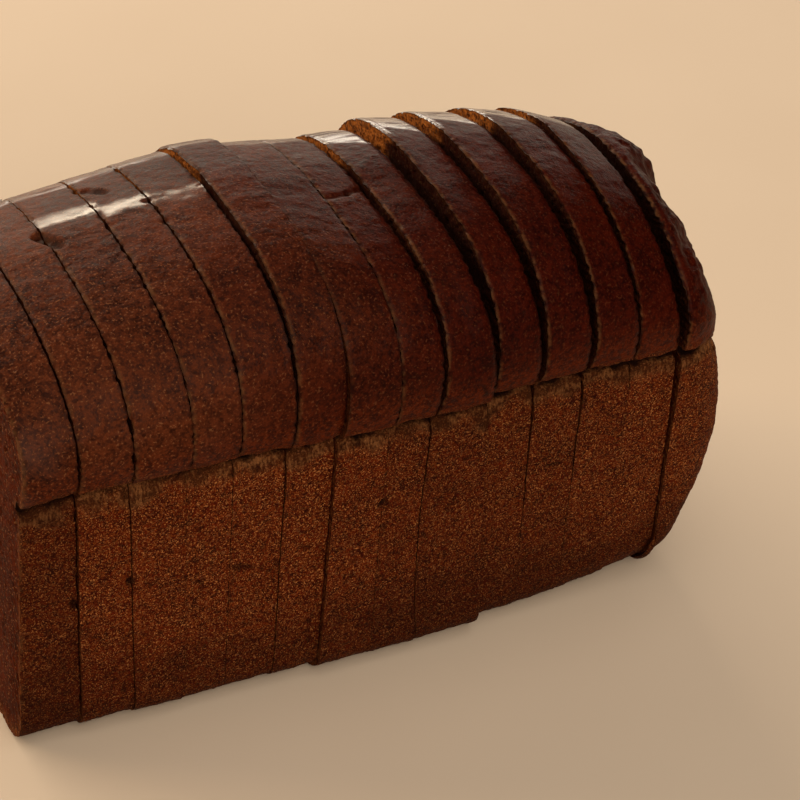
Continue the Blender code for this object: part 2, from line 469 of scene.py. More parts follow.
@dataclass(frozen=True)
class CrustRelief:
    """How the crust's surface departs from the smooth form."""

    crown_waves: Unevenness = Unevenness((34.0, 26.0, 26.0), 11)
    crown_lumps: Unevenness = Unevenness((9.0, 8.0, 8.0), 12)
    crown_ripples: Unevenness = Unevenness((3.4, 2.8, 2.8), 13)
    fine: Unevenness = Unevenness((1.3, 1.3, 1.3), 14)
    pan_waves: Unevenness = Unevenness((26.0, 20.0, 14.0), 15)
    pan_lumps: Unevenness = Unevenness((5.5, 5.0, 4.0), 16)
    pan_grit: Unevenness = Unevenness((1.9, 1.9, 1.5), 17)
    fibres: Unevenness = Unevenness((1.3, 3.0, 4.2), 18)
    tears: Unevenness = Unevenness((5.0, 9.0, 3.0), 19)
    seam_reach: Unevenness = Unevenness((8.0, 9.0, 9.0), 20)
    crack_width: Unevenness = Unevenness((6.0, 9.0, 9.0), 21)
    crack_wander: Unevenness = Unevenness((3.2, 9.0, 9.0), 26)
    edge_chips: Unevenness = Unevenness((2.6, 1.9, 1.9), 22)
    edge_nibbles: Unevenness = Unevenness((3.0, 1.5, 1.5), 23)
    patch_noise: Unevenness = Unevenness((22.0, 18.0, 18.0), 25)
    inward: float = 0.38
    rear_fall: float = 1.2
    pricks: Pores = Pores(5.0, 0.35, 0.95, 0.4, 24)
    streaks: Unevenness = Unevenness((13.0, 1.0, 1.0), 27)
    glosses: tuple[Gloss, ...] = (
        Gloss(24.0, 40.2, 12.2, 15.5, 0.8),
        Gloss(39.2, 51.8, 8.0, 11.5, 0.7),
        Gloss(51.0, 65.0, 6.2, 9.0, 0.45),
        Gloss(20.0, 101.0, 31.0, 40.0, 0.6),
        Gloss(100.0, 118.0, 26.0, 40.0, 0.9, 0.50),
        Gloss(117.0, 131.0, 23.0, 40.0, 1.0, 0.65),
        Gloss(130.0, 144.5, 22.0, 40.0, 1.0, 0.65),
        Gloss(143.5, 157.5, 20.0, 40.0, 1.0, 0.55),
        Gloss(156.5, 170.0, 16.0, 36.0, 0.6, 0.60),
    )
    marks: tuple[Mark, ...] = (
        Mark((26.6, -44.4, 46.0), (26.6, -44.4, 46.6), 1.2, 1.1, 0.9),
        Mark((90.1, -44.4, 53.4), (89.6, -44.4, 52.7), 1.1, 1.0, 0.8),
        Mark((89.0, -44.4, 58.0), (90.4, -44.4, 58.2), 0.6, 0.6, 0.6),
        Mark((53.0, -44.4, 42.6), (56.4, -44.4, 41.4), 0.9, 0.8, 0.7),
        Mark((69.6, -44.4, 44.0), (72.0, -44.4, 43.4), 0.7, 0.5, 0.5),
        Mark((13.0, -44.4, 43.4), (13.4, -44.4, 42.0), 1.0, 0.9, 0.8),
        Mark((136.6, -44.4, 49.2), (140.4, -44.4, 49.0), 0.6, 0.6, 0.7),
        Mark((90.0, -1.6, 113.6), (96.0, -0.6, 113.4), 0.9, 0.5, 0.45),
        Mark((96.0, -0.6, 113.4), (101.0, 1.5, 113.0), 0.9, 0.5, 0.45),
        Mark((143.7, -0.3, 112.8), (149.0, -5.6, 112.2), 0.8, 0.5, 0.35),
        Mark((149.5, -6.0, 112.0), (159.2, -7.7, 111.0), 0.8, 0.5, 0.35),
        Mark((23.4, 9.0, 110.0), (26.0, 3.5, 110.9), 1.6, 1.5, 0.7),
        Mark((50.0, 9.5, 112.8), (51.6, 8.4, 112.8), 1.1, 1.0, 0.5),
        Mark((40.2, 24.0, 110.5), (43.5, 20.0, 111.5), 1.4, 0.9, 0.6),
    )

    def press(
        self, points: np.ndarray, station: np.ndarray, side: np.ndarray, edges: CutEdges, tone: float
    ) -> dict[str, np.ndarray]:
        """Work out how far the surface moves and what its finish needs to know.

        Args:
            points: Smooth places on the crust.
            station: How far round the section each place lies.
            side: -1 on the near side, 1 on the far side.
            edges: Where the places lie between the knife cuts.
            tone: How light the piece's lower crust is, 1 for the lightest.

        Returns:
            "out", the outward move, "in_x", how far a cut edge draws back, and the finish's masks by name.
        """
        edge = np.minimum(edges.left, edges.right)
        ragged = edges.nearest(FORM.raggedness)
        gap_shade = edges.nearest(FORM.gap_shade)
        crown = smooth(1.85, 1.35, station)
        under = smooth(4.6, 5.2, station)
        below = FORM.lip(points[:, 0], side) - points[:, 2]
        fine = self.fine.at(points)
        gloss = np.zeros(len(points))
        for stretch in self.glosses:
            gloss = np.maximum(gloss, crown * stretch.cover(points))
        crown_move = 0.42 * self.crown_waves.at(points) + 0.20 * (1.0 - 0.7 * gloss) * self.crown_lumps.at(points)
        crown_move += (1.0 - gloss) * (0.13 * self.crown_ripples.at(points) + 0.07 * fine)
        pan_move = 0.4 * self.pan_waves.at(points) + 0.2 * self.pan_lumps.at(points)
        pan_move += 0.15 * self.pan_grit.at(points) + 0.11 * fine
        move = crown * crown_move + (1.0 - crown) * pan_move - self.inward
        move -= crown * self.rear_fall * smooth(6.0, 26.0, points[:, 1])
        crumpled = crown * smooth(FORM.cuts[-1] + 1.0, FORM.cuts[-1] + 5.0, points[:, 0]) * smooth(84.0, 96.0, points[:, 2])
        move += crumpled * (0.7 * self.crown_lumps.at(points) + 0.5 * self.crown_ripples.at(points) - 0.35)

        reach = 5.0 + 4.5 * self.seam_reach.at(points)
        torn = (1.0 - crown) * smooth(reach + 1.5, reach - 1.5, below) * smooth(-1.5, 0.3, below)
        tears = self.tears.at(points)
        fibres = self.fibres.at(points)
        move -= torn * (0.3 + 0.55 * fibres + 0.45 * tears)
        opened = np.clip(0.9 + 1.5 * self.crack_width.at(points), 0.25, 1.9)
        wander = 1.5 * self.crack_wander.at(points)
        crack = (1.0 - 0.6 * crown) * np.exp(-(((below - 0.6 - wander) / (0.3 + 0.4 * opened)) ** 2))
        move -= 1.3 * opened * crack

        pricks = (1.0 - crown) * (1.0 - under) * self.pricks.depth_at(points)
        move -= 0.6 * np.sqrt(pricks)
        # Painted shade: the pricked pits, the marks and the crack under the lip are darkened as well as pressed in.
        hollow_shade = smooth(0.05, 0.5, pricks) * 0.6
        for mark in self.marks:
            cover = mark.cover(points)
            move -= mark.depth * cover * (0.85 + 0.3 * fine)
            hollow_shade = np.maximum(hollow_shade, mark.painted_shade * cover)

        chips = smooth(0.0, 0.8, self.edge_chips.at(points))
        ragged = ragged * (crown + (1.0 - crown) * (1.0 - 0.85 * smooth(0.2, 0.5, gap_shade) * (edges.first > 0)))
        move -= ragged * smooth(1.2, 0.0, edge) * (0.06 + 0.42 * chips)
        move -= crown * FORM.right_rounding[edges.last] * smooth(2.4, 0.0, edges.right) ** 2
        move -= crown * FORM.left_rounding[edges.first] * smooth(1.5, 0.0, edges.left) ** 2
        nibbles = smooth(-0.2, 0.8, self.edge_nibbles.at(points))
        flecks = smooth(-0.35, 0.35, fine + 0.6 * fibres)
        # Painted sheen: a greyish reflection painted on the crown towards the cut end.
        painted_sheen = crown * smooth(62.0, 6.0, points[:, 0]) * smooth(104.0, 90.0, points[:, 2])
        low = smooth(36.0, 10.0, points[:, 2] + 7.0 * self.pan_waves.at(points) + 5.0 * self.pan_lumps.at(points))
        streaks = smooth(-0.5, 0.0, self.streaks.at(points))
        broken = crown + (1.0 - crown) * (0.05 + 0.4 * smooth(0.05, 0.5, tears))
        return {
            "out": move * (1.0 - 0.85 * under),
            "in_x": ragged * 0.5 * nibbles * smooth(1.2, 0.0, edge),
            "crown": crown,
            "torn": torn,
            "tear": np.clip(torn * (0.45 - 1.1 * tears), 0.0, 1.0),
            "hollow_shade": np.clip(np.maximum(hollow_shade, 0.95 * np.minimum(crack * opened * 1.3, 1.0)), 0.0, 1.0),
            # Paler crust along each piece's left cut edge: partly crumbs of the broken edge, partly a painted
            # highlight.
            "edge": ragged * smooth(1.3, 0.1, edges.left + 0.4 * fine) * flecks,
            # Painted shade on the crust beside each tight cut.
            "gap_shade": gap_shade * smooth(0.7, 0.05, edge + 0.3 * fine) * broken,
            # Painted sunlight: the crumb at the tops of the cut faces, towards the far side, is painted as lit.
            "lit": smooth(12.0, 19.0, points[:, 1] + 5.0 * self.tears.at(points)) * smooth(88.0, 100.0, points[:, 2]),
            # Darker towards the bottom of the pan, and on slices whose pan_tones are below 1.
            "pan_darkening": (1.0 - crown) * (1.0 - tone * (1.0 - 0.48 * low)),
            "painted_sheen": painted_sheen * smooth(-0.6, 0.6, self.patch_noise.at(points) + 0.5 * self.crown_lumps.at(points)),
            "gloss": gloss * np.where(points[:, 1] > 17.0, 0.1 + 0.9 * streaks, 1.0),
            "lip_band": smooth(-15.0, -3.0, below) * crown,
            # Darker towards the heel: partly a harder bake, partly painted shade on the slices towards the heel.
            "bake_and_shade": smooth(5.0, 125.0, points[:, 0] + 26.0 * self.patch_noise.at(points)),
        }


RELIEF = CrustRelief()


@dataclass(frozen=True)
class CrumbRelief:
    """How the cut faces depart from the knife's plane."""

    large: Pores = Pores(4.6, 0.5, 1.5, 0.55, 41)
    middling: Pores = Pores(2.3, 0.35, 0.85, 0.6, 42)
    small: Pores = Pores(1.25, 0.25, 0.5, 0.7, 43)
    drag: Unevenness = Unevenness((3.0, 2.4, 1.1), 44)
    grit: Unevenness = Unevenness((1.0, 0.8, 0.8), 45)

    def press(self, points: np.ndarray) -> tuple[np.ndarray, np.ndarray]:
        """Work out how far the crumb goes in behind the knife's plane.

        Args:
            points: Places on the plane.

        Returns:
            The depth at each place, and how far it lies in a pore, from 0 to 1, which the finish darkens as painted
            shade.
        """
        holes = np.maximum(np.sqrt(self.large.depth_at(points)), 0.8 * np.sqrt(self.middling.depth_at(points)))
        holes = np.maximum(holes, 0.5 * np.sqrt(self.small.depth_at(points)))
        rough = 0.16 + 0.14 * self.drag.at(points) + 0.12 * self.grit.at(points)
        return np.maximum(rough, 0.0) + 0.95 * holes, np.clip(holes, 0.0, 1.0)


CRUMB = CrumbRelief()


@dataclass(frozen=True)
class Layout:
    """How finely a piece is meshed. Counts are for one half of the section or for one cap."""

    crown: int = 112
    lip: int = 20
    seam: int = 16
    wall: int = 108
    corner: int = 18
    underside: int = 40
    rings: tuple[float, ...] = (0.993, 0.985, 0.976, 0.966, 0.953, 0.938, 0.92, 0.898, 0.87)
    hub_height: float = 84.0

    def stations(self, x: float) -> np.ndarray:
        """Stations down one half of the section, evenly spaced within each stretch of it.

        Args:
            x: Place along the loaf.

        Returns:
            Stations from 0, the crown's top, to 6, the middle of the underside.
        """
        found = [np.zeros(1)]
        for part, count in enumerate((self.crown, self.lip, self.seam, self.wall, self.corner, self.underside)):
            dense = np.linspace(part, part + 1.0 - 1e-9, 600)
            many = np.full_like(dense, x)
            places = FORM.outline(dense, np.ones_like(dense), many, np.zeros_like(dense))
            length = np.concatenate([[0.0], np.cumsum(np.linalg.norm(np.diff(places, axis=0), axis=1))])
            found.append(np.interp(np.linspace(0.0, length[-1], count + 1)[1:], length, dense))
        stations = np.concatenate(found)
        return np.where(np.abs(stations - np.round(stations)) < 1e-6, np.round(stations), stations)


LAYOUT = Layout()


@dataclass
class Blank:
    """A piece as the operators leave it: the section drawn out in equal steps and closed at both ends.

    Attributes:
        piece: The object.
        step: Number of the drawn-out section each vertex lies on.
        turn: Angle of each vertex about the hub, from the top towards the near side.
        station: Station of each vertex.
        side: -1 on the near side, 1 on the far side.
        share: 1 on the crust, less towards the hub on a cap.
    """

    piece: bpy.types.Object
    step: np.ndarray
    turn: np.ndarray
    station: np.ndarray
    side: np.ndarray
    share: np.ndarray


@dataclass
class LoafPiece:
    """What a slice and the heel share: modelling a blank with operators, then shaping and dressing it."""

    name: str
    node: str
    steps: int
    middle: float
    width: float
    fine_caps: tuple[CutFace, ...] = ()

    def section(self) -> np.ndarray:
        """Y and Z once around the section at the piece's middle, from the top down the near side."""
        stations = LAYOUT.stations(self.middle)
        many = np.full_like(stations, self.middle)
        near = FORM.outline(stations, np.full_like(stations, Side.NEAR.value), many, np.zeros_like(stations))
        far = near[-2:0:-1] * np.array([-1.0, 1.0])
        return np.concatenate([near, far])

    def close_cap(self, piece: bpy.types.Object, x: float, fine: bool) -> None:
        """Close one end with rings that follow the crust and a grid inside them.

        Args:
            piece: The open blank, in edit mode.
            x: Place of the end along the blank, in metres.
            fine: Whether the grid is made twice as fine.
        """
        before = 1.0
        for share in LAYOUT.rings:
            bpy.ops.mesh.extrude_region_move()
            bpy.ops.transform.resize(
                value=(1.0, share / before, share / before), center_override=(x, 0.0, LAYOUT.hub_height * MM)
            )
            before = share
        model = bmesh.from_edit_mesh(piece.data)
        rim = self.rim_in_order(model, x)
        bpy.ops.mesh.select_all(action="DESELECT")
        if not fine:
            bpy.context.tool_settings.mesh_select_mode = (True, False, False)
            for vertex in rim[1::2]:
                vertex.select_set(True)
            bmesh.update_edit_mesh(piece.data)
            bpy.ops.mesh.dissolve_verts()
            model = bmesh.from_edit_mesh(piece.data)
            rim = self.rim_in_order(model, x)
        bpy.ops.mesh.select_all(action="DESELECT")
        bpy.context.tool_settings.mesh_select_mode = (False, True, False)
        low = min(vertex.co.z for vertex in rim)
        corner = min((vertex for vertex in rim if vertex.co.z < low + 4.0 * MM), key=lambda vertex: vertex.co.y)
        members = set(rim)
        for edge in model.edges:
            if edge.is_boundary and edge.verts[0] in members and edge.verts[1] in members:
                edge.select_set(True)
        model.select_history.clear()
        model.select_history.add(corner)
        bmesh.update_edit_mesh(piece.data)
        start = rim.index(corner)
        across = sum(1 for vertex in rim if vertex.co.z < low + 4.0 * MM)
        LOG.debug("%s: cap corner %d, %d across", self.name, start, across)
        bpy.ops.mesh.fill_grid(span=max(2, across - 1), offset=0)
        bpy.ops.mesh.select_all(action="DESELECT")

    @staticmethod
    def rim_in_order(model: bmesh.types.BMesh, x: float) -> list[bmesh.types.BMVert]:
        """Vertices of the open rim at one end, in order around it.

        Args:
            model: The blank's mesh.
            x: Place of the end along the blank, in metres.

        Returns:
            The rim's vertices.
        """
        model.edges.ensure_lookup_table()
        open_edges = {edge for edge in model.edges if edge.is_boundary and abs(edge.verts[0].co.x - x) < 1e-6}
        first = next(iter(sorted(open_edges, key=lambda edge: edge.index)))
        order = [first.verts[0]]
        edge = first
        here = first.other_vert(order[0])
        while here is not order[0]:
            order.append(here)
            edge = next(other for other in here.link_edges if other in open_edges and other is not edge)
            here = edge.other_vert(here)
        return order

    def model(self) -> Blank:
        """Draw the section out into a closed blank with operators, then read where its vertices lie.

        Returns:
            The blank.
        """
        section = self.section()
        start = self.middle - self.width / 2
        bpy.ops.object.select_all(action="DESELECT")
        bpy.ops.mesh.primitive_circle_add(
            vertices=len(section),
            radius=FORM.body_width / 2 * MM,
            location=(start * MM, 0.0, FORM.heel_centre_height * MM),
            rotation=(math.pi / 2, 0.0, math.pi / 2),
        )
        piece = bpy.context.object
        piece.name = self.name
        piece.data.name = self.name
        bpy.ops.object.transform_apply(location=True, rotation=True, scale=True)
        places = np.column_stack([np.full(len(section), start), section]) * MM
        piece.data.vertices.foreach_set("co", places.ravel())
        bpy.ops.object.mode_set(mode="EDIT")
        bpy.context.tool_settings.mesh_select_mode = (False, True, False)
        bpy.ops.mesh.select_all(action="SELECT")
        stride = self.width / self.steps * MM
        for _ in range(self.steps):
            bpy.ops.mesh.extrude_region_move(TRANSFORM_OT_translate={"value": (stride, 0.0, 0.0)})
        self.close_cap(piece, start * MM + stride * self.steps, CutFace.RIGHT in self.fine_caps)
        model = bmesh.from_edit_mesh(piece.data)
        for edge in model.edges:
            if edge.is_boundary:
                edge.select_set(True)
        bmesh.update_edit_mesh(piece.data)
        self.close_cap(piece, start * MM, CutFace.LEFT in self.fine_caps)
        bpy.ops.mesh.select_all(action="SELECT")
        bpy.ops.mesh.normals_make_consistent(inside=False)
        bpy.ops.object.mode_set(mode="OBJECT")
        return self.read(piece, section, start, stride / MM)

    def read(self, piece: bpy.types.Object, section: np.ndarray, start: float, stride: float) -> Blank:
        """Read each vertex's step, angle, station and share from its place on the blank.

        Args:
            piece: The blank's object.
            section: Y and Z around the section.
            start: Place of the left end.
            stride: Length of one step.

        Returns:
            The blank.
        """
        places = np.zeros(len(piece.data.vertices) * 3)
        piece.data.vertices.foreach_get("co", places)
        places = places.reshape(-1, 3) / MM
        half = len(section) // 2 + 1
        away = section[:half] - np.array([0.0, LAYOUT.hub_height])
        turns = np.arctan2(-away[:, 0], away[:, 1])
        turns[0], turns[-1] = 0.0, math.pi
        reach = np.linalg.norm(away, axis=1)
        turn = np.arctan2(-places[:, 1], places[:, 2] - LAYOUT.hub_height)
        distance = np.hypot(places[:, 1], places[:, 2] - LAYOUT.hub_height)
        share = distance / np.interp(np.abs(turn), turns, reach)
        step = np.rint((places[:, 0] - start) / stride).astype(int)
        inner = (step > 0) & (step < self.steps)
        share = np.where(inner | (share > 0.9985), 1.0, share)
        station = np.interp(np.abs(turn), turns, LAYOUT.stations(self.middle))
        return Blank(piece, step, turn, station, np.where(turn >= 0.0, Side.NEAR.value, Side.FAR.value), share)

    def follow_crust(self, blank: Blank, moves: np.ndarray, cap_step: int) -> None:
        """Let a cap's vertices follow the crust's moves, less and less towards the hub.

        Args:
            blank: The blank.
            moves: Move of every vertex, of which the cap's are filled in.
            cap_step: Step on which the cap lies.
        """
        rim = np.flatnonzero((blank.step == cap_step) & (blank.share == 1.0))
        cap = np.flatnonzero((blank.step == cap_step) & (blank.share < 1.0))
        order = rim[np.argsort(blank.turn[rim])]
        fade = smooth(LAYOUT.rings[-1] - 0.03, 1.0, blank.share[cap])
        for axis in range(3):
            moves[cap, axis] = fade * np.interp(
                blank.turn[cap], blank.turn[order], moves[order, axis], period=2.0 * math.pi
            )

    def finish(self, blank: Blank, places: np.ndarray, masks: dict[str, np.ndarray], crumb_steps: tuple[int, ...]) -> None:
        """Put the vertices in place, give the faces their finishes and hand the piece to the frame.

        Args:
            blank: The blank.
            places: Final place of every vertex in the loaf.
            masks: Numbers by name that the finishes read.
            crumb_steps: Steps whose caps are cut crumb.
        """
        mesh = blank.piece.data
        low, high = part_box(self.node)
        origin = np.array([CAD_BOX[0].x, (low.y + high.y) / 2, 0.0])
        mesh.vertices.foreach_set("co", (places * MM + origin).ravel())
        for name, values in masks.items():
            layer = mesh.attributes.new(name, "FLOAT", "POINT")
            layer.data.foreach_set("value", values.astype(np.float32))
        mesh.materials.append(FINISHES["crust"])
        mesh.materials.append(FINISHES["crumb"])
        on_crumb = np.isin(blank.step, crumb_steps)
        corners = np.zeros(len(mesh.loops), np.int32)
        mesh.loops.foreach_get("vertex_index", corners)
        starts = np.zeros(len(mesh.polygons), np.int32)
        mesh.polygons.foreach_get("loop_start", starts)
        level = np.minimum.reduceat(blank.step[corners], starts) == np.maximum.reduceat(blank.step[corners], starts)
        kinds = (np.minimum.reduceat(on_crumb[corners].astype(np.int32), starts) * level).astype(np.int32)
        mesh.polygons.foreach_set("material_index", kinds)
        mesh.update()
        bpy.ops.object.select_all(action="DESELECT")
        blank.piece.select_set(True)
        bpy.context.view_layer.objects.active = blank.piece
        grain = blank.piece.modifiers.new("grain", "DISPLACE")
        grain.texture = TEXTURES["grain"]
        grain.texture_coords = "LOCAL"
        grain.strength = 0.2 * MM
        grain.mid_level = 0.65
        grain.vertex_group = self.weigh_grain(blank.piece, masks["gloss"]).name
        bpy.ops.object.modifier_apply(modifier=grain.name)
        inner = np.array([list(CAD_BOX[0]), list(CAD_BOX[1])]) + np.array([[0.03], [-0.03]]) * MM
        shape = np.zeros(len(mesh.vertices) * 3)
        mesh.vertices.foreach_get("co", shape)
        mesh.vertices.foreach_set("co", np.clip(shape.reshape(-1, 3), inner[0], inner[1]).ravel())
        mesh.update()
        bpy.ops.object.shade_smooth_by_angle(angle=math.radians(62.0))
        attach(blank.piece, "root")
        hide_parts(self.node)
        LOG.info("%s: %d faces", self.name, len(mesh.polygons))


    @staticmethod
    def weigh_grain(piece: bpy.types.Object, gloss: np.ndarray) -> bpy.types.VertexGroup:
        """Tell the grain how strong it is, in steps, so that shiny crust stays smooth.

        Args:
            piece: The object.
            gloss: How shiny each vertex is.

        Returns:
            The group of weights.
        """
        group = piece.vertex_groups.new(name="grain")
        level = np.round(gloss * 4.0).astype(int)
        for step in range(5):
            group.add(np.flatnonzero(level == step).tolist(), 1.0 - step / 4.0, "REPLACE")
        return group


@dataclass
class Slice(LoafPiece):
    """One slice between two knife cuts."""

    index: int = 0
    edge_steps: tuple[float, ...] = (0.0, 0.22, 0.5, 0.85, 1.3, 1.8, 2.4)

    @classmethod
    def cut_from_loaf(cls, index: int) -> "Slice":
        """Set up slice number index, counted from the cut end."""
        thickness = FORM.slice_thicknesses[index]
        return cls(
            name=f"rye_slice_{index + 1:02d}",
            node=f"slice_{index + 1:02d}",
            steps=24,
            middle=FORM.cuts[index] + thickness / 2,
            width=thickness,
            fine_caps=(CutFace.LEFT,) if index == 0 else (),
            index=index,
        )

    def shares_across(self) -> np.ndarray:
        """Share of the thickness at each step, closer together near the two cuts."""
        edge = np.array(self.edge_steps) / self.width
        middle = np.linspace(edge[-1], 1.0 - edge[-1], self.steps + 3 - 2 * len(edge))
        return np.concatenate([edge[:-1], middle, 1.0 - edge[-2::-1]])

    def build(self) -> bpy.types.Object:
        """Model, shape and dress the slice.

        Returns:
            The finished object.
        """
        blank = self.model()
        across = self.shares_across()[blank.step]
        rise = FORM.rises_left[self.index]
        rise = rise + (FORM.rises_right[self.index] - rise) * across
        station_x = FORM.cuts[self.index] + self.width * across
        section = FORM.outline(blank.station, blank.side, station_x, rise)
        ahead = FORM.outline(np.minimum(blank.station + 0.01, 6.0), blank.side, station_x, rise)
        behind = FORM.outline(np.maximum(blank.station - 0.01, 0.0), blank.side, station_x, rise)
        along = ahead - behind
        normal = np.column_stack([np.zeros(len(along)), -blank.side * along[:, 1], blank.side * along[:, 0]])
        normal /= np.maximum(np.linalg.norm(normal, axis=1), 1e-9)[:, None]
        hub = np.array([0.0, LAYOUT.hub_height])
        section = hub + (section - hub) * blank.share[:, None]
        left = FORM.cut(self.index, section[:, 1])
        right = FORM.cut(self.index + 1, section[:, 1]) - FORM.gap(self.index + 1, section[:, 1])
        places = np.column_stack([left + (right - left) * across, section])
        thick = right - left
        edges = CutEdges(across * thick, (1.0 - across) * thick, self.index, self.index + 1)
        relief = RELIEF.press(places, blank.station, blank.side, edges, FORM.pan_tones[self.index])

        moves = normal * relief["out"][:, None]
        moves[:, 0] += np.where(across < 0.5, 1.0, -1.0) * relief["in_x"]
        for cap_step in (0, self.steps):
            self.follow_crust(blank, moves, cap_step)
        masks = {name: values for name, values in relief.items() if name not in ("out", "in_x")}
        on_cap = blank.share < 1.0
        depth, holes = CRUMB.press(places)
        near_crust = smooth(0.9, 1.0, blank.share)
        inward = np.where(blank.step == 0, 1.0, -1.0) * depth * (1.0 - 0.6 * near_crust)
        moves[:, 0] += np.where(on_cap, inward, 0.0)
        # Pores on the cut faces are darkened as painted shade.
        masks["hollow_shade"] = np.where(on_cap, holes, masks["hollow_shade"])
        # Paler crumb by the crust: partly its own colour, partly a painted highlight on the lit rim.
        masks["rim"] = np.where(on_cap, smooth(0.955, 0.985, blank.share), 1.0)
        on_left = blank.step == 0
        # Painted shade on the upper crumb of the cut faces and on the left crust rim, kept off where painted sunlight
        # lies.
        upper = smooth(70.0, 85.0, places[:, 2]) * (1.0 - masks["lit"])
        masks["gap_shade"] = np.where(on_cap, edges.nearest(FORM.gap_shade) * upper, masks["gap_shade"])
        rim = on_left & ~on_cap
        masks["gap_shade"] = np.where(rim, np.maximum(masks["gap_shade"], FORM.gap_shade[self.index] * upper), masks["gap_shade"])
        self.finish(blank, places + moves, masks, (0, self.steps))
        return blank.piece


